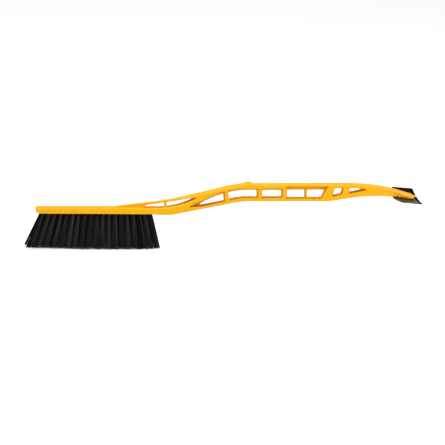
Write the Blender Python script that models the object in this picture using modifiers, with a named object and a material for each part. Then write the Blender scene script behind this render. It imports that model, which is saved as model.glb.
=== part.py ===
"""Snow brush with an ice scraper: a moulded yellow frame, a black scraper blade and bristle tufts.

+X runs from the brush to the scraper, +Z is up and the bristle tips stand on Z = 0. The object is
symmetric about Y = 0. Driving dimensions are in millimetres; the model is built in metres.
"""
from math import cos, pi, radians, sin, sqrt, tan

import bmesh
import bpy
from mathutils import Matrix, Vector

MM = 0.001
GAP = 0.3                        # clearance between separate pieces
MIDDLE = 3.8                     # middle of the length in the coordinates below; it is moved to X = 0

# Brush block
BLOCK_START = -297.3             # rounded end of the block
BLOCK_END = -85.0                # where it has narrowed to the handle's width
BLOCK_TAPER = -107.0             # where it starts to narrow
BLOCK_WIDTH = 22.0
BLOCK_BOTTOM = 58.9
BLOCK_DROP = 1.3                 # how much lower its underside is at the handle's end
BLOCK_TOP = 66.7
BLOCK_CORNER = 3.5               # corner radius in plan
BLOCK_ROUND = 1.6                # rounded long edges

# Handle: a truss with flanges across it and a thin web on its middle plane
HANDLE_WIDTH = 18.0
HANDLE_ROUND = 1.6
WEB = 3.0
STRAND_WIDTH = 6.0               # upper strand over the block
STRAND_FLARE = -76.0             # where it starts to widen to the handle's width
STRAND_MERGE = -40.0             # where it has reached that width
POST_BOTTOM = 65.0               # small post between the block and the strand
POST_TOP = 77.5
TALL = 140.0                     # anything higher than the object, for plan cuts
ROUND_SIDES = 12                 # sides of a small round shape
CORNER_ANGLE = radians(40)       # an outline that turns by more keeps its corner

# Neck over the blade
NECK_START = 262.0               # where the neck starts to flare
NECK_FLARED = 280.0              # where the flare has widened it by NECK_WIDENING on each side
NECK_WIDENING = 2.0
NECK_END = 310.0
NECK_HALF = 16.5
NECK_CORNER = 2.0
NIB_HALF = 3.5                   # small tongue at the end of the neck
NIB_START = 312.5
NIB_END = 318.0
NIB_LIFT = 1.4                   # its height above the blade

# Scraper blade
BLADE_BACK = 278.0
BLADE_FRONT = 320.0
BLADE_HALF = 55.0                # half its width at the front
BLADE_BACK_HALF = 52.5           # and at the outer back corners
BLADE_SWEEP = 7.0                # how far those corners sit forward
BLADE_CORNER = 1.5
BLADE_SLOPE = radians(6.0)
BLADE_TOP_AT_BACK = 85.7         # height of its upper face at the middle of the back edge
BLADE_DISH = 4.0                 # rise from the middle to the side edges
BLADE_STRIPS = 16                # flat strips that make up the dished plate
BLADE_THICK = 2.0                # at the back
BLADE_FRONT_THICK = 1.1          # at the front, if the edge were not sharpened
BEVEL_LENGTH = 6.5               # sharpened strip along the front edge
EDGE_THICK = 0.5
PEG_X = 294.0                    # moulded pegs that hold the blade
PEG_Y = 8.0
PEG_RADIUS = 2.5
PEG_HEAD_RADIUS = 4.2
PEG_HEAD_THICK = 1.2
PEG_OVERLAP = 1.5                # how far the pegs reach into the neck
NECK_GAP = 0.6                   # over the dished blade, so that the neck's sides clear it too

# Bristle tufts
TUFT_COLUMNS = 19
TUFT_FIRST = -286.9
TUFT_PITCH = 9.64
ROW_PITCH = 6.2
ROW_LEAN = radians(3.5)          # outer rows lean away from the middle row
LEAN_LEFT = radians(-21.3)       # lean of the first column
LEAN_RIGHT = radians(12.9)       # lean of the last column
UPRIGHT_AT = 0.66                # share of the brush's length where the tufts stand upright
LEAN_POWER = 1.5
TUFT_ROOT = 2.2                  # radius in the hole
TUFT_TIP = 4.3                   # radius at the tips
TUFT_DEPTH = 6.6                 # length inside the hole
TUFT_SIDES = 10
HOLE_RADIUS = 2.8
HOLE_SIDES = 8
TRIM_LEFT = 2.6                  # tips are trimmed higher towards both ends
TRIM_LEFT_SHARE = 0.4            # share of the brush's length over which this happens
TRIM_RIGHT = 1.5
TRIM_RIGHT_SHARE = 0.1

# Upper edge of the handle and neck, from the block to the tip
TOP_EDGE = [(-120, 64.8), (-103, 65.6), (-93, 67.0), (-83, 68.4), (-73, 70.1), (-64, 72.4), (-54, 75.9),
            (-48, 78.7), (-42, 82.0), (-37, 86.6), (-30, 90.4), (-17, 93.7), (5, 99.4), (17, 102.1),
            (30, 104.0), (36, 105.0), (40, 106.4), (43, 107.3), (48, 107.1), (51, 105.7), (54, 105.0),
            (58, 104.9), (90, 105.2), (150, 105.2), (195, 105.4), (210, 105.4), (228, 104.4), (247, 102.5),
            (267, 99.3), (285, 94.6), (297, 90.4), (308, 86.9), (320, 85.6)]
# Lower edge, from the blade back to the block
BOTTOM_EDGE = [(272, 86.5), (262, 87.1), (248, 86.8), (234, 86.7), (224, 86.0), (200, 82.7), (182, 79.7),
               (173, 78.7), (165, 78.5), (46, 78.5), (38, 78.3), (25, 77.0), (4, 72.5), (-35, 65.0),
               (-57, 60.5), (-70, 57.8), (-83, 55.8), (-96, 55.9), (-120, 57.5)]
# Strand above the block: upper edge, then lower edge
STRAND_TOP = [(-186, 66.0), (-172, 68.4), (-152, 71.2), (-123, 74.8), (-94, 78.5), (-75, 81.6), (-55, 85.5),
              (-37, 89.0), (-23, 91.9)]
STRAND_BOTTOM = [(-23, 87.6), (-36, 85.2), (-56, 82.0), (-66, 79.4), (-85, 76.1), (-104, 73.1),
                 (-116, 71.6), (-122, 69.5), (-127, 65.0)]
STRAND_POST = (-89.2, 3.8)       # centre and width of the small post under it

# Bays, each as the outline of its pocket between the flanges and the outline of the hole through the web
BAYS = {
    "long": ([(-53, 68.6), (-35, 77.9), (-19, 85.8), (-3, 92.6), (5.3, 94.8), (7, 77.1), (-30, 69.8)],
             [(-35, 71.6), (-26, 77.4), (-10, 84.9), (3.5, 89.4), (5, 76.7), (-30, 69.8)]),
    "second": ([(10.3, 96.4), (24, 98.6), (37, 99.6), (59.5, 99.6), (59.5, 83.2), (37, 83.2),
                (24, 81.6), (13.6, 79.3)],
               [(12, 91.9), (25, 94.4), (38, 95.5), (57.5, 95.5), (57.5, 84.1), (37, 84.1),
                (24, 82.5), (14.2, 80.3)]),
    "third": ([(65.2, 99.6), (98.9, 99.6), (98.9, 83.3), (65.2, 83.3)],
              [(67, 95.4), (97, 95.4), (97, 84.2), (67, 84.2)]),
    "wide": ([(104.8, 103.2), (172.5, 103.2), (162.5, 82.4), (104.8, 82.4)],
             [(106.8, 95.9), (134.6, 95.9), (134.6, 83.5), (106.8, 83.5)]),
    "slanted": ([(183.5, 100.6), (198, 100.6), (194.5, 88.5), (179.4, 85.6)],
                [(184.6, 98.4), (195.6, 98.4), (193.2, 89.9), (181.2, 87.4)]),
    "wedge": ([(207, 100.1), (223.5, 100.1), (236.5, 97.7), (225.5, 94.5), (206.8, 90.3)],
              [(208.3, 99.2), (224.3, 99.2), (224.3, 95.9), (208.3, 91.9)]),
}
# Second hole in the wide bay, beyond its bar
WIDE_SECOND_HOLE = [(139.1, 95.9), (167, 95.9), (161, 83.5), (139.1, 83.5)]

YELLOW = (0.93, 0.42, 0.02, 1.0)
BLACK = (0.012, 0.012, 0.013, 1.0)


def clear_scene():
    for obj in list(bpy.data.objects):
        bpy.data.objects.remove(obj, do_unlink=True)


def new_collection(name):
    collection = bpy.data.collections.new(name)
    bpy.context.scene.collection.children.link(collection)
    return collection


def material(name, color, roughness):
    mat = bpy.data.materials.new(name)
    mat.use_nodes = True
    shader = mat.node_tree.nodes["Principled BSDF"]
    shader.inputs["Base Color"].default_value = color
    shader.inputs["Roughness"].default_value = roughness
    shader.inputs["Metallic"].default_value = 0.0
    return mat


def add_object(name, mesh, collection):
    obj = bpy.data.objects.new(name, mesh)
    collection.objects.link(obj)
    return obj


def hide_tool(obj):
    """A cutter or a joined-in shape is a guide, not a piece of the object."""
    obj.hide_render = True
    obj.display_type = "WIRE"
    return obj


def flat_solid(name, points, thickness, collection, upright=True, height=0.0):
    """A closed outline as a solid. Upright: points are (x, z) about Y = 0; else (x, y) about Z = height."""
    curve = bpy.data.curves.new(name, "CURVE")
    curve.dimensions = "2D"
    curve.fill_mode = "BOTH"
    curve.extrude = thickness * MM / 2
    spline = curve.splines.new("POLY")
    spline.points.add(len(points) - 1)
    for point, (across, up) in zip(spline.points, points):
        point.co = (across * MM, up * MM, 0.0, 1.0)
    spline.use_cyclic_u = True
    spline.use_smooth = False
    guide = add_object(name + "_curve", curve, collection)
    if upright:
        guide.rotation_euler = (pi / 2, 0.0, 0.0)
    guide.location = (0.0, 0.0, height * MM)
    bpy.context.view_layer.update()
    evaluated = guide.evaluated_get(bpy.context.evaluated_depsgraph_get())
    mesh = bpy.data.meshes.new_from_object(evaluated)
    place = guide.matrix_world.copy()
    bpy.data.objects.remove(guide, do_unlink=True)
    weld(mesh)
    mesh.transform(place)
    return add_object(name, mesh, collection)


def weld(mesh):
    shape = bmesh.new()
    shape.from_mesh(mesh)
    bmesh.ops.remove_doubles(shape, verts=shape.verts, dist=1e-6)
    bmesh.ops.recalc_face_normals(shape, faces=shape.faces)
    shape.to_mesh(mesh)
    shape.free()


def smooth_path(points, steps):
    """A Catmull-Rom curve through the points, which keeps the corners of the path."""
    path = []
    for index in range(len(points) - 1):
        p1, p2 = Vector(points[index]), Vector(points[index + 1])
        p0 = neighbour(points, index, -1, p1, p2)
        p3 = neighbour(points, index + 1, 1, p2, p1)
        for step in range(steps):
            t = step / steps
            path.append(tuple(catmull_rom(p0, p1, p2, p3, t)))
    path.append(tuple(points[-1]))
    return path


def neighbour(points, index, side, here, other):
    """The next point beyond here, or a straight continuation at an end or at a corner."""
    straight = here + (here - other)
    beyond = index + side
    if beyond < 0 or beyond >= len(points):
        return straight
    outward = Vector(points[beyond]) - here
    inward = here - other
    if inward.angle(outward) > CORNER_ANGLE:
        return straight
    return here + outward.normalized() * inward.length


def catmull_rom(p0, p1, p2, p3, t):
    tangent_1 = (p2 - p0) / 2
    tangent_2 = (p3 - p1) / 2
    return (p1 * (2 * t ** 3 - 3 * t ** 2 + 1) + tangent_1 * (t ** 3 - 2 * t ** 2 + t)
            + p2 * (3 * t ** 2 - 2 * t ** 3) + tangent_2 * (t ** 3 - t ** 2))


def arc(centre, radius, start, end, steps):
    """Points of an arc about centre, angles in degrees."""
    turns = [radians(start + (end - start) * step / steps) for step in range(steps + 1)]
    return [(centre[0] + radius * cos(turn), centre[1] + radius * sin(turn)) for turn in turns]


def mirrored(half):
    """A plan outline from its half at positive Y, both ends of which lie off the middle line."""
    return half + [(x, -y) for x, y in reversed(half)]


def boolean(obj, tool, operation):
    modifier = obj.modifiers.new(operation.lower() + "_" + tool.name, "BOOLEAN")
    modifier.operation = operation
    modifier.solver = "EXACT"
    modifier.object = tool


def bevel(obj, width, segments):
    modifier = obj.modifiers.new("rounded_edges", "BEVEL")
    modifier.width = width * MM
    modifier.segments = segments
    modifier.limit_method = "ANGLE"
    modifier.angle_limit = radians(50)


def cylinder(name, radius_top, radius_bottom, start, end, sides, collection):
    """A cylinder or cone from start to end, both in millimetres; radius_top is at start."""
    start, end = Vector(start), Vector(end)
    shape = bmesh.new()
    length = (end - start).length
    bmesh.ops.create_cone(shape, cap_ends=True, segments=sides, radius1=radius_bottom * MM,
                          radius2=radius_top * MM, depth=length * MM)
    mesh = bpy.data.meshes.new(name)
    shape.to_mesh(mesh)
    shape.free()
    obj = add_object(name, mesh, collection)
    obj.rotation_mode = "QUATERNION"
    obj.rotation_quaternion = (start - end).to_track_quat("Z", "Y")
    obj.location = (start + end) * (MM / 2)
    return obj


def blade_height(x, y):
    """Height of the blade's upper face, which slopes to the front and rises towards both sides."""
    return BLADE_TOP_AT_BACK - (x - BLADE_BACK) * tan(BLADE_SLOPE) + BLADE_DISH * (y / BLADE_HALF) ** 2


def block_bottom(x):
    """Height of the block's underside, which drops a little towards the handle."""
    return BLOCK_BOTTOM - BLOCK_DROP * (x - BLOCK_START) / (BLOCK_END - BLOCK_START)


def tuft_lean(column):
    """Lean of a column along X: outward at both ends of the brush, upright in between."""
    share = column / (TUFT_COLUMNS - 1)
    if share < UPRIGHT_AT:
        return LEAN_LEFT * (1 - share / UPRIGHT_AT) ** LEAN_POWER
    return LEAN_RIGHT * ((share - UPRIGHT_AT) / (1 - UPRIGHT_AT)) ** LEAN_POWER


def tuft_places():
    """Name, point where the axis leaves the block, direction towards the tip, length below the block."""
    places = []
    for row, side in (("near", -1), ("middle", 0), ("far", 1)):
        half_step = 0.5 if side == 0 else 0.0
        columns = TUFT_COLUMNS - 1 if side == 0 else TUFT_COLUMNS
        for index in range(columns):
            column = index + half_step
            share = column / (TUFT_COLUMNS - 1)
            lean = tuft_lean(column)
            direction = Vector((sin(lean), side * sin(ROW_LEAN), -cos(lean))).normalized()
            x = TUFT_FIRST + column * TUFT_PITCH
            root = Vector((x, side * ROW_PITCH, block_bottom(x)))
            trim = TRIM_LEFT * max(0.0, 1 - share / TRIM_LEFT_SHARE) ** 0.7
            trim += TRIM_RIGHT * max(0.0, 1 - (1 - share) / TRIM_RIGHT_SHARE)
            down = -direction.z
            tilt = sqrt(max(0.0, 1 - down * down))
            length = (root.z - trim - TUFT_TIP * tilt) / down
            places.append(("tuft_%s_%02d" % (row, index + 1), root, direction, length))
    return places


def make_block(collection):
    """The block, rounded at its free end and narrowed to the handle's width at the other."""
    half = BLOCK_WIDTH / 2
    corner = arc((BLOCK_START + BLOCK_CORNER, half - BLOCK_CORNER), BLOCK_CORNER, 180, 90, 5)
    taper = [(BLOCK_TAPER, half), (BLOCK_END, HANDLE_WIDTH / 2 - 1.0)]
    middle = (BLOCK_TOP + BLOCK_BOTTOM) / 2
    block = flat_solid("body", mirrored(corner + taper), BLOCK_TOP - BLOCK_BOTTOM, collection,
                       upright=False, height=middle)
    for vert in block.data.vertices:
        if vert.co.z < middle * MM:
            vert.co.z = block_bottom(vert.co.x / MM) * MM
    bevel(block, BLOCK_ROUND, 2)
    return block


def make_handle(tools):
    """Side profile of the handle and neck, cut to its plan shape: straight, then flared over the blade."""
    front = NIB_END + 2
    under_neck = [(front, blade_height(front, NIB_HALF) + NIB_LIFT),
                  (NIB_START, blade_height(NECK_END, NECK_HALF) + NIB_LIFT),
                  (NECK_END - 1, blade_height(NECK_END, NECK_HALF) + NECK_GAP),
                  (BLADE_BACK - 1, blade_height(BLADE_BACK, NECK_HALF) + NECK_GAP)]
    profile = smooth_path(TOP_EDGE, 3) + under_neck + smooth_path(BOTTOM_EDGE, 2)
    handle = flat_solid("handle", profile, 3 * NECK_HALF, tools)
    half = HANDLE_WIDTH / 2
    middle = (NECK_FLARED, half + NECK_WIDENING)
    flare = smooth_path([(NECK_START, half), middle, (NECK_END - NECK_CORNER, NECK_HALF)], 3)
    corner = arc((NECK_END - NECK_CORNER, NECK_HALF - NECK_CORNER), NECK_CORNER, 80, 0, 3)
    nib = [(NIB_START, NIB_HALF + 1.5)] + arc((NIB_END - NIB_HALF, 0), NIB_HALF, 70, 10, 3)
    outline = mirrored([(TOP_EDGE[0][0] - 1, half)] + flare + corner + nib)
    plan = flat_solid("plan", outline, TALL, tools, upright=False, height=TALL / 2)
    boolean(handle, hide_tool(plan), "INTERSECT")
    bevel(handle, HANDLE_ROUND, 2)
    return hide_tool(handle)


def make_strand(tools):
    """The thin strand that rises from the block and runs into the handle."""
    outline = smooth_path(STRAND_TOP, 2) + smooth_path(STRAND_BOTTOM, 2)
    strand = flat_solid("strand", outline, 2 * HANDLE_WIDTH, tools)
    narrow, wide = STRAND_WIDTH / 2, HANDLE_WIDTH / 2 - 0.1
    middle = ((STRAND_FLARE + STRAND_MERGE) / 2, (narrow + wide) / 2)
    flare = smooth_path([(STRAND_FLARE, narrow), middle, (STRAND_MERGE, wide)], 3)
    outline = mirrored([(STRAND_TOP[0][0] - 1, narrow)] + flare + [(STRAND_TOP[-1][0] + 1, wide)])
    plan = flat_solid("strand_plan", outline, TALL, tools, upright=False, height=TALL / 2)
    boolean(strand, hide_tool(plan), "INTERSECT")
    bevel(strand, 1.0, 1)
    return hide_tool(strand)


def make_strand_post(tools):
    centre, width = STRAND_POST
    left, right = centre - width / 2, centre + width / 2
    outline = [(left, POST_BOTTOM), (right, POST_BOTTOM), (right, POST_TOP), (left, POST_TOP)]
    return hide_tool(flat_solid("strand_post", outline, STRAND_WIDTH - 1.0, tools))


def cut_bays(body, tools):
    """Pockets on both sides leave a thin web, and holes run through the web."""
    depth = HANDLE_WIDTH / 2
    for name, (pocket, hole) in BAYS.items():
        for side in (-1, 1):
            tool = flat_solid("%s_pocket_%d" % (name, side + 1), pocket, depth, tools)
            tool.location.y = side * (WEB / 2 + depth / 2) * MM
            boolean(body, hide_tool(tool), "DIFFERENCE")
        boolean(body, hide_tool(flat_solid(name + "_hole", hole, HANDLE_WIDTH * 2, tools)), "DIFFERENCE")
    second = flat_solid("wide_second_hole", WIDE_SECOND_HOLE, HANDLE_WIDTH * 2, tools)
    boolean(body, hide_tool(second), "DIFFERENCE")


def blade_frame(x, y, depth):
    """A point at x and y, depth below the blade's upper face, square to that face."""
    normal = Vector((sin(BLADE_SLOPE), 0.0, cos(BLADE_SLOPE)))
    return Vector((x, y, blade_height(x, y))) - normal * depth


def add_pegs(body, tools):
    """Two pegs under the neck pass through the blade; their flattened heads hold it."""
    for side in (-1, 1):
        y = side * PEG_Y
        head_top = BLADE_THICK + GAP
        head_bottom = head_top + PEG_HEAD_THICK
        peg = cylinder("peg_%d" % (side + 1), PEG_RADIUS, PEG_RADIUS, blade_frame(PEG_X, y, -PEG_OVERLAP),
                       blade_frame(PEG_X, y, (head_top + head_bottom) / 2), ROUND_SIDES, tools)
        head = cylinder("peg_head_%d" % (side + 1), PEG_HEAD_RADIUS, PEG_HEAD_RADIUS - 0.5,
                        blade_frame(PEG_X, y, head_top), blade_frame(PEG_X, y, head_bottom), ROUND_SIDES,
                        tools)
        boolean(body, hide_tool(peg), "UNION")
        boolean(body, hide_tool(head), "UNION")


def drill_holes(body, places, tools):
    """One blind hole for each tuft, drilled along the tuft's own lean."""
    for name, root, direction, _ in places:
        inner = root - direction * (TUFT_DEPTH + GAP)
        outer = root + direction * TUFT_DEPTH
        hole = cylinder(name + "_hole", HOLE_RADIUS, HOLE_RADIUS, inner, outer, HOLE_SIDES, tools)
        boolean(body, hide_tool(hole), "DIFFERENCE")


def make_body(parts, tools, places):
    body = make_block(parts)
    boolean(body, make_handle(tools), "UNION")
    boolean(body, make_strand(tools), "UNION")
    boolean(body, make_strand_post(tools), "UNION")
    cut_bays(body, tools)
    add_pegs(body, tools)
    drill_holes(body, places, tools)
    body.data.materials.append(material("yellow_plastic", YELLOW, 0.35))
    return body


def make_blade(parts, tools):
    """A dished trapezoid with a sharpened front edge, sloping down to the front."""
    half = BLADE_HALF
    length = BLADE_FRONT - BLADE_BACK
    profile = [(0, 0), (length - BEVEL_LENGTH, 0), (length, EDGE_THICK - BLADE_FRONT_THICK),
               (length, -BLADE_FRONT_THICK), (0, -BLADE_THICK)]
    blade = flat_solid("scraper_blade", profile, 2 * half + 10, parts)
    place = Matrix.Translation((BLADE_BACK * MM, 0, BLADE_TOP_AT_BACK * MM))
    blade.data.transform(place @ Matrix.Rotation(BLADE_SLOPE, 4, "Y"))
    dish(blade.data)
    swept = BLADE_BACK + BLADE_SWEEP
    edge = [(BLADE_BACK - 1, PEG_Y), (swept, BLADE_BACK_HALF - BLADE_CORNER),
            (swept + BLADE_CORNER, BLADE_BACK_HALF),
            (BLADE_FRONT - BLADE_CORNER, half), (BLADE_FRONT + 1, half - BLADE_CORNER)]
    plan = flat_solid("blade_plan", mirrored(edge), TALL, tools, upright=False, height=TALL / 2)
    boolean(blade, hide_tool(plan), "INTERSECT")
    for side in (-1, 1):
        y = side * PEG_Y
        hole = cylinder("blade_hole_%d" % (side + 1), PEG_RADIUS + GAP, PEG_RADIUS + GAP,
                        blade_frame(PEG_X, y, -BLADE_THICK), blade_frame(PEG_X, y, 2 * BLADE_THICK),
                        ROUND_SIDES, tools)
        boolean(blade, hide_tool(hole), "DIFFERENCE")
    blade.data.materials.append(material("black_blade", BLACK, 0.3))
    return blade


def dish(mesh):
    """Cut the plate into lengthwise strips and raise them towards both sides."""
    shape = bmesh.new()
    shape.from_mesh(mesh)
    for cut in range(1, BLADE_STRIPS):
        y = BLADE_HALF * (2 * cut / BLADE_STRIPS - 1) * MM
        everything = shape.verts[:] + shape.edges[:] + shape.faces[:]
        bmesh.ops.bisect_plane(shape, geom=everything, plane_co=(0, y, 0), plane_no=(0, 1, 0))
    for vert in shape.verts:
        vert.co.z += BLADE_DISH * (vert.co.y / (BLADE_HALF * MM)) ** 2 * MM
    shape.to_mesh(mesh)
    shape.free()


def make_tufts(parts, places):
    """Each tuft is a cone of bristle, narrow in its hole and wider at its trimmed tips."""
    bristle = material("black_bristle", BLACK, 0.55)
    for name, root, direction, length in places:
        top = root - direction * TUFT_DEPTH
        tip = root + direction * length
        tuft = cylinder(name, TUFT_ROOT, TUFT_TIP, top, tip, TUFT_SIDES, parts)
        tuft.data.materials.append(bristle)
        tuft.data.shade_smooth()
        tuft.data.set_sharp_from_angle(angle=radians(50))


def main():
    clear_scene()
    parts = new_collection("snow_brush")
    tools = new_collection("cutters")
    places = tuft_places()
    make_body(parts, tools, places)
    make_blade(parts, tools)
    make_tufts(parts, places)
    for obj in bpy.data.objects:
        obj.location.x -= MIDDLE * MM


main()
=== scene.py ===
"""Looks of the snow brush: moulded yellow frame, black scraper blade and tufts of single bristles.

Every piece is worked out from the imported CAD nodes. Units are metres, +X runs from the brush to the
scraper, +Z is up, and the bristle tips stand near Z = 0.
"""
import math
import random

import bmesh
import bpy
from mathutils import Matrix, Vector
from mathutils.bvhtree import BVHTree


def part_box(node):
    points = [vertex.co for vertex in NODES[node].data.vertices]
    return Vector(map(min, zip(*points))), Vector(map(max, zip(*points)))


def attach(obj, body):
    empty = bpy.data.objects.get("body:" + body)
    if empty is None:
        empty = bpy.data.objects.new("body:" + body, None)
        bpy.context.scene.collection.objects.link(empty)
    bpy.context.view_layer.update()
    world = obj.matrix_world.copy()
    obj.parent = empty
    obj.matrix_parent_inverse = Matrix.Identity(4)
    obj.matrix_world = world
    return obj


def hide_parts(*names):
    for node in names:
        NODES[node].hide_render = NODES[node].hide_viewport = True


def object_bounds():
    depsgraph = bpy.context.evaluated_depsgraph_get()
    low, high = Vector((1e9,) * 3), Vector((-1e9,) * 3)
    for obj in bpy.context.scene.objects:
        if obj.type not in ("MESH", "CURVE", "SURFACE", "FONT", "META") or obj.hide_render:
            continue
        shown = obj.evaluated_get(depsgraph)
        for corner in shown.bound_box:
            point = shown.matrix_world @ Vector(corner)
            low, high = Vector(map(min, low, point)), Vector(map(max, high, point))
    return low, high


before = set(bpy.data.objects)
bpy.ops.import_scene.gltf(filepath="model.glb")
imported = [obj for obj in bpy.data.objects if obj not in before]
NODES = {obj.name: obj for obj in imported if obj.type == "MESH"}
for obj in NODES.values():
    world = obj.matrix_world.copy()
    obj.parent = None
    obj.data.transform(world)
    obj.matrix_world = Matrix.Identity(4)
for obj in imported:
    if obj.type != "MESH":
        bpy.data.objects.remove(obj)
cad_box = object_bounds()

MM = 0.001
WELD = 1e-6                      # points nearer to each other than this are one point
SCENE = bpy.context.scene

# Moulded frame
VOXEL = 0.6 * MM                 # cell of the remesh that rounds the moulding's edges
SMOOTHING = 5
KEPT_FACES = 0.45                # share of the remeshed faces that is kept
LIP_HEIGHT = 1.6 * MM            # bead around the lower edge of the block
LIP_OUT = 0.45 * MM
LIP_INSET = 1.2 * MM             # it starts on the walls, this far in from the block's widest point
LIP_END = 7.0 * MM               # and goes round the end of the block, this far along it
WEB_SHADE = (2.0 * MM, 4.0 * MM)  # from the middle plane, where the pockets' painted shade is full and gone
SEAM = (0.12 * MM, 0.35 * MM)    # from the middle plane, where the parting line is full and gone

NOTCH_RADIUS = 1.4 * MM          # half-round notches along the neck's lower edges, over the blade
NOTCH_DEPTH = 1.8 * MM
NOTCH_SIDES = 16
NOTCH_SHARES = (0.16, 0.32, 0.46, 0.68)  # their places along the blade, from its back edge
ABOVE_BLADE = 2.6 * MM           # height over the blade at which the neck's side is looked up

# Scraper blade
RIDGE_FROM_EDGE = 4.6 * MM       # ice-breaking ridge on the sharpened strip
RIDGE_HEIGHT = 0.35 * MM
RIDGE_WIDTH = 2.4 * MM
RIDGE_ROWS = 6
BLADE_ROUND = 0.22 * MM
BLADE_FLAT = math.radians(0.4)   # faces that tilt less than this are joined before the edges are rounded
BLADE_CORNER = math.radians(40)  # edges that turn more than this are rounded
BLADE_CREASE = math.radians(50)  # edges that turn more than this stay hard in the shading

# Bristles
FILAMENTS = 130                  # in one tuft
FILAMENT_RADIUS = 0.25 * MM
FILAMENT_SIDES = 3
FILAMENT_TAPER = 0.35            # share of the radius that is lost at the tip
FILAMENT_STEPS = 5
FILAMENT_CREASE = math.radians(80)
TIP_DEPTH = 3.9 * MM             # half the patch that a tuft's tips fill across the brush
TIP_OVERLAP = 1.06               # along the brush the patch reaches a little into its neighbours'
RAGGED = 0.55 * MM               # spread of the trimmed tips
BEND = 0.9 * MM                  # random bow of a filament
SPREAD = (0.95, 1.1)             # how far filaments reach into their patch of tips
STRAY = 0.05                     # share of filaments that splay out of their tuft
STRAY_SPREAD = (1.1, 1.3)
TUFT_TONE = 0.15                 # how much a whole tuft may be paler than the next one
PAINTED_HIGHLIGHT_SIDE = Vector((0.5, -0.866, 0.0))  # side of a tuft whose filaments get a painted highlight, a paler shade
PAINTED_HIGHLIGHT_POWER = 4
END_CURVE = (30.0, 120.0)        # how fast the trim rises beyond the first and the last tuft, per metre

# Studio
FLOOR_RADIUS = 30.0
FLOOR_SIDES = 96
FLOOR_BELOW = 0.2 * MM           # the floor lies this far under the lowest bristle
GLOW_END = (5, 12)               # elevations between which the white horizon fades, in degrees
SKY = 0.02                       # strength of the sky above it
SOFTBOX_DISTANCE = 2.2
SOFTBOXES = (                    # name, azimuth and elevation in degrees, size in metres, watts
    ("key_front_left", -15, 60, (1.6, 1.0), 29.0),
    ("fill_front", -12, 28, (1.6, 0.8), 4.5),
    ("fill_left", -80, 32, (1.0, 0.8), 5.0),
    ("overhead", 0, 88, (1.8, 1.2), 38.0),
    ("fill_back", 160, 74, (1.6, 1.0), 10.0),
)
NECK_SOFTBOX = ("neck_front", 14, 10, 0.27, (0.12, 0.12), 0.12)  # the same, with its distance in metres

# Camera
AZIMUTH = math.radians(-8.6)
ELEVATION = math.radians(13.2)
ROLL = math.radians(1.97)
DISTANCE = 16.0
VIEW_WIDTH = 0.712               # width of the picture at the object
TARGET = Vector((0.5 * MM, 0.0, 41.8 * MM))
SENSOR = 36.0                    # millimetres, as Blender takes it


def link(obj):
    SCENE.collection.objects.link(obj)
    return obj


def new_piece(name, mesh):
    return link(bpy.data.objects.new(name, mesh))


def finished(obj):
    """The object's mesh with its modifiers applied."""
    bpy.context.view_layer.update()
    evaluated = obj.evaluated_get(bpy.context.evaluated_depsgraph_get())
    mesh = bpy.data.meshes.new_from_object(evaluated)
    obj.modifiers.clear()
    obj.data = mesh
    return obj


def welded_copy(node):
    """A CAD node's mesh as one connected surface."""
    shape = bmesh.new()
    shape.from_mesh(NODES[node].data)
    bmesh.ops.remove_doubles(shape, verts=shape.verts, dist=WELD)
    mesh = bpy.data.meshes.new(node + "_source")
    shape.to_mesh(mesh)
    shape.free()
    return mesh


# Materials ------------------------------------------------------------------------------------------

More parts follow.
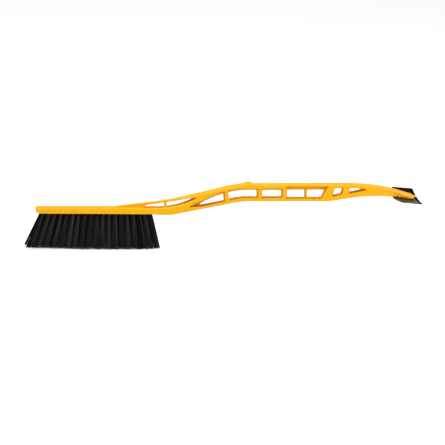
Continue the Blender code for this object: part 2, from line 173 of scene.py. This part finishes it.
class Shader:
    """A node material with short helpers for the nodes these looks share."""

    def __init__(self, name):
        self.material = bpy.data.materials.new(name)
        self.material.use_nodes = True
        self.nodes = self.material.node_tree.nodes
        self.links = self.material.node_tree.links
        self.base = self.nodes["Principled BSDF"]
        self.place = self.nodes.new("ShaderNodeTexCoord").outputs["Object"]

    def join(self, output, target):
        self.links.new(output, target)

    def stretched(self, scale):
        mapping = self.nodes.new("ShaderNodeMapping")
        mapping.inputs["Scale"].default_value = scale
        self.join(self.place, mapping.inputs["Vector"])
        return mapping.outputs["Vector"]

    def noise(self, scale, detail=3.0, stretch=(1, 1, 1), rough=0.55):
        node = self.nodes.new("ShaderNodeTexNoise")
        node.inputs["Scale"].default_value = scale
        node.inputs["Detail"].default_value = detail
        node.inputs["Roughness"].default_value = rough
        self.join(self.stretched(stretch), node.inputs["Vector"])
        return node.outputs["Fac"]

    def ramp(self, value, low, high, start=0.0, end=1.0):
        """Value mapped from low..high to start..end, held at both ends."""
        node = self.nodes.new("ShaderNodeMapRange")
        node.inputs["From Min"].default_value = low
        node.inputs["From Max"].default_value = high
        node.inputs["To Min"].default_value = start
        node.inputs["To Max"].default_value = end
        self.join(value, node.inputs["Value"])
        return node.outputs["Result"]

    def math(self, operation, first, second):
        node = self.nodes.new("ShaderNodeMath")
        node.operation = operation
        for socket, value in zip(node.inputs, (first, second)):
            if isinstance(value, (int, float)):
                socket.default_value = value
            else:
                self.join(value, socket)
        return node.outputs["Value"]

    def mix(self, factor, first, second):
        """A blend of two colours; each is a colour or another node's output."""
        node = self.nodes.new("ShaderNodeMix")
        node.data_type = "RGBA"
        self.join(factor, node.inputs["Factor"])
        for socket, value in ((node.inputs["A"], first), (node.inputs["B"], second)):
            if isinstance(value, tuple):
                socket.default_value = (*value, 1.0)
            else:
                self.join(value, socket)
        return node.outputs["Result"]

    def bump(self, height, distance, strength=1.0, below=None):
        node = self.nodes.new("ShaderNodeBump")
        node.inputs["Strength"].default_value = strength
        node.inputs["Distance"].default_value = distance
        self.join(height, node.inputs["Height"])
        if below is not None:
            self.join(below, node.inputs["Normal"])
        return node.outputs["Normal"]

    def axis(self, name):
        node = self.nodes.new("ShaderNodeSeparateXYZ")
        self.join(self.place, node.inputs["Vector"])
        return node.outputs[name]

    def pocket_shade(self):
        """1 on the walls of the thin web, which lie near the middle plane and face sideways: where
        painted shade goes.
        """
        normal = self.nodes.new("ShaderNodeSeparateXYZ")
        self.join(self.nodes.new("ShaderNodeNewGeometry").outputs["Normal"], normal.inputs["Vector"])
        sideways = self.ramp(self.math("ABSOLUTE", normal.outputs["Y"], 0.0), 0.70, 0.95)
        near_middle = self.ramp(self.math("ABSOLUTE", self.axis("Y"), 0.0), *WEB_SHADE, 1.0, 0.0)
        return self.math("MULTIPLY", sideways, near_middle)

    def edges(self):
        """How convex the surface is: about 0.5 on a flat face, more along an edge."""
        return self.nodes.new("ShaderNodeNewGeometry").outputs["Pointiness"]


def yellow_plastic():
    """Satin moulded plastic with a fine orange-peel skin, flow variation, rubbed edges lightened partly
    as a painted highlight, and painted shade on the pocket walls.
    """
    look = Shader("yellow_moulded_plastic")
    flow = look.noise(22.0, 4.0, (0.35, 1, 1))
    colour = look.mix(look.ramp(flow, 0.35, 0.68), (0.80, 0.375, 0.003), (0.84, 0.412, 0.005))
    patches = look.ramp(look.noise(260.0, 4.0), 0.25, 0.6, 0.4)
    # Painted highlight, partly wear: convex edges are lightened in patches toward a pale yellow.
    wear_and_highlight = look.math("MULTIPLY", look.ramp(look.edges(), 0.51, 0.57), patches)
    colour = look.mix(look.math("MULTIPLY", wear_and_highlight, 0.7), colour, (0.99, 0.64, 0.07))
    # Painted shade: the web walls inside the pockets are darkened to a deeper orange.
    colour = look.mix(look.math("MULTIPLY", look.pocket_shade(), 0.4), colour, (0.74, 0.29, 0.003))
    look.join(colour, look.base.inputs["Base Color"])
    satin = look.ramp(flow, 0.3, 0.7, 0.34, 0.44)
    scuffs = look.ramp(look.noise(75.0, 6.0, (0.12, 1, 1), 0.7), 0.60, 0.74)
    rough = look.math("ADD", satin, look.math("MULTIPLY", scuffs, 0.14))
    look.join(rough, look.base.inputs["Roughness"])
    look.base.inputs["Specular IOR Level"].default_value = 0.1
    seam = look.ramp(look.math("ABSOLUTE", look.axis("Y"), 0.0), *SEAM, 1.0, 0.0)
    skin = look.bump(look.noise(1500.0, 2.0), 0.05 * MM, 0.25)
    look.join(look.bump(seam, 0.12 * MM, 0.6, below=skin), look.base.inputs["Normal"])
    return look.material


def blade_plastic():
    """Hard black plastic, scratched along the scraping direction, paler grey in patches along its convex
    edges.
    """
    look = Shader("black_blade_plastic")
    scratch = look.noise(420.0, 5.0, (0.05, 1, 1), 0.65)
    cloud = look.noise(45.0, 3.0)
    paler_edges = look.math("MULTIPLY", look.ramp(look.edges(), 0.52, 0.62), look.ramp(cloud, 0.3, 0.65))
    colour = look.mix(look.ramp(scratch, 0.62, 0.76), (0.003, 0.003, 0.0033), (0.011, 0.011, 0.012))
    colour = look.mix(look.math("MULTIPLY", paler_edges, 0.6), colour, (0.045, 0.045, 0.047))
    look.join(colour, look.base.inputs["Base Color"])
    satin = look.ramp(cloud, 0.3, 0.7, 0.26, 0.33)
    rough = look.math("ADD", satin, look.ramp(scratch, 0.6, 0.78, 0.0, 0.14))
    look.join(rough, look.base.inputs["Roughness"])
    look.base.inputs["Specular IOR Level"].default_value = 0.4
    look.join(look.bump(scratch, 0.05 * MM, 0.35), look.base.inputs["Normal"])
    return look.material


def ground_edge():
    """The blade's sharpened strip: matt, with grinding lines across it."""
    look = Shader("black_ground_edge")
    lines = look.noise(700.0, 4.0, (0.04, 1, 1), 0.6)
    colour = look.mix(look.ramp(lines, 0.45, 0.75), (0.003, 0.003, 0.0033), (0.009, 0.009, 0.0095))
    look.join(colour, look.base.inputs["Base Color"])
    look.join(look.ramp(lines, 0.3, 0.7, 0.60, 0.75), look.base.inputs["Roughness"])
    look.base.inputs["Specular IOR Level"].default_value = 0.0
    look.join(look.bump(lines, 0.04 * MM, 0.4), look.base.inputs["Normal"])
    return look.material


def bristle_polymer():
    """Black filament; each one has its own shade, a random tone plus a painted highlight on one side of
    its tuft, held in the mesh's colour attribute.
    """
    look = Shader("black_bristle_polymer")
    shade = look.nodes.new("ShaderNodeAttribute")
    shade.attribute_name = "shade"
    fibre = look.noise(900.0, 2.0, (1, 1, 0.04))
    colour = look.mix(shade.outputs["Fac"], (0.0012, 0.0012, 0.0014), (0.055, 0.055, 0.056))
    look.join(colour, look.base.inputs["Base Color"])
    look.join(look.ramp(fibre, 0.3, 0.7, 0.42, 0.62), look.base.inputs["Roughness"])
    look.base.inputs["Specular IOR Level"].default_value = 0.06
    return look.material


def studio_white():
    """A lit white table: pale, even and almost free of shadows."""
    look = Shader("studio_white")
    cloud = look.noise(1.5, 2.0)
    look.join(look.mix(cloud, (0.30, 0.30, 0.30), (0.32, 0.32, 0.32)), look.base.inputs["Base Color"])
    look.base.inputs["Roughness"].default_value = 0.9
    look.base.inputs["Specular IOR Level"].default_value = 0.1
    look.base.inputs["Emission Color"].default_value = (1.0, 1.0, 1.0, 1.0)
    look.base.inputs["Emission Strength"].default_value = 0.82
    return look.material


# Moulded frame --------------------------------------------------------------------------------------

def remesh_rounded(piece):
    """Even out the faceted solid into a dense skin with small moulded radii on every edge."""
    remesh = piece.modifiers.new("even_skin", "REMESH")
    remesh.mode = "VOXEL"
    remesh.voxel_size = VOXEL
    soften = piece.modifiers.new("moulded_radii", "SMOOTH")
    soften.factor = 0.5
    soften.iterations = SMOOTHING
    thin = piece.modifiers.new("thin_out", "DECIMATE")
    thin.ratio = KEPT_FACES
    return finished(piece)


def add_lip(piece):
    """A low bead along the foot of the brush block, where the mould closes."""
    block_low, block_high = block_box()
    middle = block_low.z + LIP_HEIGHT / 2
    for vert in piece.data.vertices:
        height = abs(vert.co.z - middle) / (LIP_HEIGHT / 2)
        if height > 1.0 or vert.co.x > block_high.x:
            continue
        near_side = abs(vert.co.y) > block_high.y - LIP_INSET
        near_end = vert.co.x < block_low.x + LIP_END
        if near_side or near_end:
            out = LIP_OUT * (1.0 - height * height)
            vert.co += Vector((vert.normal.x, vert.normal.y, 0.0)) * out


def block_box():
    """The brush block's lowest and highest corners: the body as far as the last tuft reaches."""
    _, tuft_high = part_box("tuft_far_19")
    points = [v.co for v in NODES["body"].data.vertices if v.co.x < tuft_high.x]
    low = Vector([min(point[axis] for point in points) for axis in range(3)])
    high = Vector([max(point[axis] for point in points) for axis in range(3)])
    return low, high


def surface(node):
    """A CAD node's mesh, ready for rays."""
    data = NODES[node].data
    return BVHTree.FromPolygons([v.co for v in data.vertices], [p.vertices[:] for p in data.polygons])


def neck_edge(body, x, side, over_blade):
    """The point at x where the neck's side meets its underside."""
    outside = Vector((x, side * 0.1, over_blade))
    wall = body.ray_cast(outside, Vector((0, -side, 0)))[0]
    inside = Vector((x, wall.y - side * NOTCH_DEPTH / 2, over_blade))
    under = body.ray_cast(inside, Vector((0, 0, -1)))[0]
    return Vector((x, wall.y, under.z))


def notch_cutter(place, side):
    shape = bmesh.new()
    bmesh.ops.create_cone(shape, cap_ends=True, segments=NOTCH_SIDES, radius1=NOTCH_RADIUS,
                          radius2=NOTCH_RADIUS, depth=2 * NOTCH_DEPTH)
    turn = Matrix.Rotation(math.pi / 2, 4, "X")
    bmesh.ops.transform(shape, matrix=Matrix.Translation(place) @ turn, verts=shape.verts)
    mesh = bpy.data.meshes.new("notch")
    shape.to_mesh(mesh)
    shape.free()
    return new_piece("notch_cutter", mesh)


def cut_notches(piece):
    """Small half-round notches along both lower edges of the neck, where it clasps the blade."""
    body, blade = surface("body"), surface("scraper_blade")
    low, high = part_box("scraper_blade")
    cutters = []
    for share in NOTCH_SHARES:
        x = low.x + (high.x - low.x) * share
        top = blade.ray_cast(Vector((x, 0, 2 * high.z)), Vector((0, 0, -1)))[0]
        for side in (-1, 1):
            cutters.append(notch_cutter(neck_edge(body, x, side, top.z + ABOVE_BLADE), side))
    for cutter in cutters:
        cut = piece.modifiers.new("notch", "BOOLEAN")
        cut.operation = "DIFFERENCE"
        cut.object = cutter
    finished(piece)
    for cutter in cutters:
        bpy.data.objects.remove(cutter, do_unlink=True)


def make_frame():
    piece = new_piece("moulded_frame", welded_copy("body"))
    cut_notches(piece)
    remesh_rounded(piece)
    add_lip(piece)
    piece.data.shade_smooth()
    piece.data.materials.clear()
    piece.data.materials.append(yellow_plastic())
    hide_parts("body")
    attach(piece, "root")


# Bristles -------------------------------------------------------------------------------------------

def tuft_axis(node):
    """Centre and radius of a CAD tuft's upper end and of its tips."""
    points = {tuple(round(c, 7) for c in v.co) for v in NODES[node].data.vertices}
    low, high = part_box(node)
    middle = (low.z + high.z) / 2
    ends = []
    for ring in ([p for p in points if p[2] > middle], [p for p in points if p[2] < middle]):
        centre = sum((Vector(p) for p in ring), Vector()) / len(ring)
        ends.append((centre, max((Vector(p) - centre).length for p in ring)))
    return ends


def trim_line(tufts):
    """Height of the trimmed tips at x, drawn through the lowest points of all the tufts."""
    marks = sorted((tuft_axis(node)[1][0].x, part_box(node)[0].z) for node in tufts)

    def height(x):
        if x <= marks[0][0]:
            return marks[0][1] + END_CURVE[0] * (marks[0][0] - x) ** 2
        for (x0, z0), (x1, z1) in zip(marks, marks[1:]):
            if x <= x1:
                return z0 + (z1 - z0) * (x - x0) / max(x1 - x0, 1e-9)
        return marks[-1][1] + END_CURVE[1] * (x - marks[-1][0]) ** 2

    return height


def disc_point(rng, across, along, radius):
    turn = rng.uniform(0.0, 2 * math.pi)
    reach = radius * math.sqrt(rng.random())
    return across * (reach * math.cos(turn)) + along * (reach * math.sin(turn))


def squared(offset, radius):
    """A point of a disc, moved outward so that the disc fills a square of half-width 1."""
    x, y = offset.x / radius, offset.y / radius
    reach = math.hypot(x, y) / max(abs(x), abs(y), 1e-9)
    return x * reach, y * reach


def half_spacing(tufts):
    """Half the distance to the next tips along the brush, for each tuft."""
    rows = {}
    for node in tufts:
        rows.setdefault(node.rsplit("_", 1)[0], []).append((tuft_axis(node)[1][0].x, node))
    spacing = {}
    for row in rows.values():
        row.sort()
        steps = [after[0] - before[0] for before, after in zip(row, row[1:])]
        for (_, node), left, right in zip(row, steps[:1] + steps, steps + steps[-1:]):
            spacing[node] = max(left, right) / 2
    return spacing


def filament_path(rng, root, tip, root_radius, half_width, height, ends):
    """Points along one filament, from hole to trimmed tip, and how far it is on the side with the
    painted highlight.
    """
    across, along = Vector((1, 0, 0)), Vector((0, 1, 0))
    reach = root_radius - FILAMENT_RADIUS
    start = disc_point(rng, across, along, reach)
    x, y = squared(start, reach)
    spread = rng.uniform(*STRAY_SPREAD) if rng.random() < STRAY else rng.uniform(*SPREAD)
    end = Vector((x * half_width * spread, y * TIP_DEPTH * spread, 0.0))
    bow = disc_point(rng, across, along, BEND)
    finish = tip + end
    first = ends[0] + abs(rng.gauss(0.0, RAGGED))
    last = ends[1] - abs(rng.gauss(0.0, RAGGED))
    finish.x = min(max(finish.x, first), last)
    end.x = finish.x - tip.x
    finish_z = height(finish.x) + abs(rng.gauss(0.0, RAGGED))
    share = (root.z - finish_z) / (root.z - finish.z)
    points = []
    for step in range(FILAMENT_STEPS + 1):
        t = share * step / FILAMENT_STEPS
        points.append(root + (tip - root) * t + start * (1 - t) + end * t + bow * math.sin(math.pi * t))
    highlight_side_share = 0.5 + 0.5 * start.dot(PAINTED_HIGHLIGHT_SIDE) / reach
    return points, highlight_side_share


def add_filament(shape, shade_layer, points, shade):
    """A thin tapered prism along the points, closed at both ends."""
    rings = []
    direction = (points[-1] - points[0]).normalized()
    across = direction.orthogonal().normalized()
    along = direction.cross(across)
    for step, point in enumerate(points):
        radius = FILAMENT_RADIUS * (1.0 - FILAMENT_TAPER * (step / FILAMENT_STEPS) ** 2)
        ring = []
        for side in range(FILAMENT_SIDES):
            turn = 2 * math.pi * side / FILAMENT_SIDES
            vert = shape.verts.new(point + (across * math.cos(turn) + along * math.sin(turn)) * radius)
            vert[shade_layer] = (shade, shade, shade, 1.0)
            ring.append(vert)
        rings.append(ring)
    for lower, upper in zip(rings, rings[1:]):
        for side in range(FILAMENT_SIDES):
            after = (side + 1) % FILAMENT_SIDES
            shape.faces.new((lower[side], lower[after], upper[after], upper[side]))
    shape.faces.new(rings[0][::-1])
    shape.faces.new(rings[-1])


def make_tuft(node, material, half_width, height, ends):
    rng = random.Random(node)
    (root, root_radius), (tip, _) = tuft_axis(node)
    tone = rng.uniform(0.0, TUFT_TONE)
    shape = bmesh.new()
    shade_layer = shape.verts.layers.float_color.new("shade")
    for _ in range(FILAMENTS):
        points, highlight_side_share = filament_path(rng, root, tip, root_radius, half_width, height, ends)
        # Painted highlight: filaments on one side of the tuft are made paler, on top of the tuft's
        # random tone.
        shade = min(1.0, tone + highlight_side_share ** PAINTED_HIGHLIGHT_POWER * rng.random())
        add_filament(shape, shade_layer, points, shade)
    mesh = bpy.data.meshes.new(node)
    shape.to_mesh(mesh)
    shape.free()
    mesh.shade_smooth()
    mesh.set_sharp_from_angle(angle=FILAMENT_CREASE)
    mesh.materials.append(material)
    piece = new_piece("bristles_" + node[len("tuft_"):], mesh)
    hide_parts(node)
    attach(piece, "root")


def make_tufts():
    tufts = sorted(name for name in NODES if name.startswith("tuft_"))
    material = bristle_polymer()
    height = trim_line(tufts)
    ends = (min(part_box(node)[0].x for node in tufts), max(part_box(node)[1].x for node in tufts))
    spacing = half_spacing(tufts)
    for node in tufts:
        make_tuft(node, material, spacing[node] * TIP_OVERLAP, height, ends)


# Blade ----------------------------------------------------------------------------------------------

def cut_across(shape, axis, places):
    """Cut the whole shape with planes square to one axis."""
    for place in places:
        everything = shape.verts[:] + shape.edges[:] + shape.faces[:]
        bmesh.ops.bisect_plane(shape, geom=everything, dist=WELD, plane_co=axis * place, plane_no=axis)


def rounded_plate():
    """The CAD blade as one surface of plain strips, with every edge slightly rounded."""
    shape = bmesh.new()
    shape.from_mesh(welded_copy("scraper_blade"))
    bmesh.ops.dissolve_limit(shape, angle_limit=BLADE_FLAT, verts=shape.verts, edges=shape.edges)
    mesh = bpy.data.meshes.new("blade_plate")
    shape.to_mesh(mesh)
    shape.free()
    piece = new_piece("blade_plate", mesh)
    rounded = piece.modifiers.new("rounded_edges", "BEVEL")
    rounded.width = BLADE_ROUND
    rounded.segments = 2
    rounded.limit_method = "ANGLE"
    rounded.angle_limit = BLADE_CORNER
    return finished(piece)


def raise_ridge(piece):
    """A low ice-breaking ridge that follows the front edge on the sharpened strip."""
    low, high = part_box("scraper_blade")
    ridge = high.x - RIDGE_FROM_EDGE
    shape = bmesh.new()
    shape.from_mesh(piece.data)
    cut_across(shape, Vector((1, 0, 0)),
               [ridge + RIDGE_WIDTH * (row / RIDGE_ROWS - 0.5) for row in range(RIDGE_ROWS + 1)])
    shape.normal_update()
    for vert in {vert for face in shape.faces if face.normal.z > 0.5 for vert in face.verts}:
        across = (vert.co.x - ridge) / (RIDGE_WIDTH / 2)
        if abs(across) < 1.0:
            vert.co.z += RIDGE_HEIGHT * 0.5 * (1.0 + math.cos(math.pi * across))
    for face in shape.faces:
        face.material_index = int(face.calc_center_median().x > ridge - RIDGE_WIDTH / 2)
    shape.to_mesh(piece.data)
    shape.free()


def make_blade():
    piece = rounded_plate()
    piece.data.materials.append(blade_plastic())
    piece.data.materials.append(ground_edge())
    raise_ridge(piece)
    piece.data.shade_smooth()
    piece.data.set_sharp_from_angle(angle=BLADE_CREASE)
    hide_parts("scraper_blade")
    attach(piece, "root")


# Studio ---------------------------------------------------------------------------------------------

def make_floor():
    shape = bmesh.new()
    bmesh.ops.create_circle(shape, cap_ends=True, segments=FLOOR_SIDES, radius=FLOOR_RADIUS)
    mesh = bpy.data.meshes.new("floor")
    shape.to_mesh(mesh)
    shape.free()
    mesh.materials.append(studio_white())
    floor = new_piece("floor", mesh)
    floor.location.z = cad_box[0].z - FLOOR_BELOW


def area_light(name, azimuth, elevation, distance, size, power, aim=None):
    """A softbox that faces a point or the object's middle; azimuth 0 is in front, elevation 90 above."""
    turn, rise = math.radians(azimuth), math.radians(elevation)
    outward = Vector((math.sin(turn) * math.cos(rise), -math.cos(turn) * math.cos(rise), math.sin(rise)))
    data = bpy.data.lights.new(name, "AREA")
    data.shape = "RECTANGLE"
    data.size, data.size_y = size
    data.energy = power
    light = link(bpy.data.objects.new(name, data))
    centre = aim or (cad_box[0] + cad_box[1]) / 2
    light.location = centre + outward * distance
    light.rotation_mode = "QUATERNION"
    light.rotation_quaternion = outward.to_track_quat("Z", "Y")
    light.visible_camera = False


def make_world():
    """White around the horizon and dim above it, so that gloss shows where a surface tilts."""
    world = bpy.data.worlds.new("studio")
    world.use_nodes = True
    nodes, links = world.node_tree.nodes, world.node_tree.links
    parts = nodes.new("ShaderNodeSeparateXYZ")
    links.new(nodes.new("ShaderNodeTexCoord").outputs["Generated"], parts.inputs["Vector"])
    fade = nodes.new("ShaderNodeMapRange")
    fade.interpolation_type = "SMOOTHSTEP"
    fade.inputs["From Min"].default_value = math.sin(math.radians(GLOW_END[0]))
    fade.inputs["From Max"].default_value = math.sin(math.radians(GLOW_END[1]))
    fade.inputs["To Min"].default_value = 1.0
    fade.inputs["To Max"].default_value = SKY
    links.new(parts.outputs["Z"], fade.inputs["Value"])
    links.new(fade.outputs["Result"], nodes["Background"].inputs["Strength"])
    nodes["Background"].inputs["Color"].default_value = (1.0, 1.0, 1.0, 1.0)
    SCENE.world = world


def make_light():
    make_world()
    for name, azimuth, elevation, size, power in SOFTBOXES:
        area_light(name, azimuth, elevation, SOFTBOX_DISTANCE, size, power)
    blade_low, blade_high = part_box("scraper_blade")
    neck = Vector(((blade_low.x + blade_high.x) / 2, 0.0, blade_high.z))
    area_light(*NECK_SOFTBOX, aim=neck)


def make_camera():
    back = Vector((math.sin(AZIMUTH) * math.cos(ELEVATION), -math.cos(AZIMUTH) * math.cos(ELEVATION),
                   math.sin(ELEVATION)))
    level = Vector((math.cos(AZIMUTH), math.sin(AZIMUTH), 0.0))
    upright = back.cross(level)
    right = level * math.cos(ROLL) + upright * math.sin(ROLL)
    up = upright * math.cos(ROLL) - level * math.sin(ROLL)
    data = bpy.data.cameras.new("camera")
    data.sensor_width = SENSOR
    data.lens = SENSOR * DISTANCE / VIEW_WIDTH
    data.clip_end = 100.0
    camera = link(bpy.data.objects.new("camera", data))
    camera.matrix_world = Matrix((right, up, back)).transposed().to_4x4()
    camera.location = TARGET + back * DISTANCE
    SCENE.camera = camera


def main():
    make_frame()
    make_blade()
    make_tufts()
    make_floor()
    make_light()
    make_camera()
    SCENE.view_settings.view_transform = "Standard"


main()
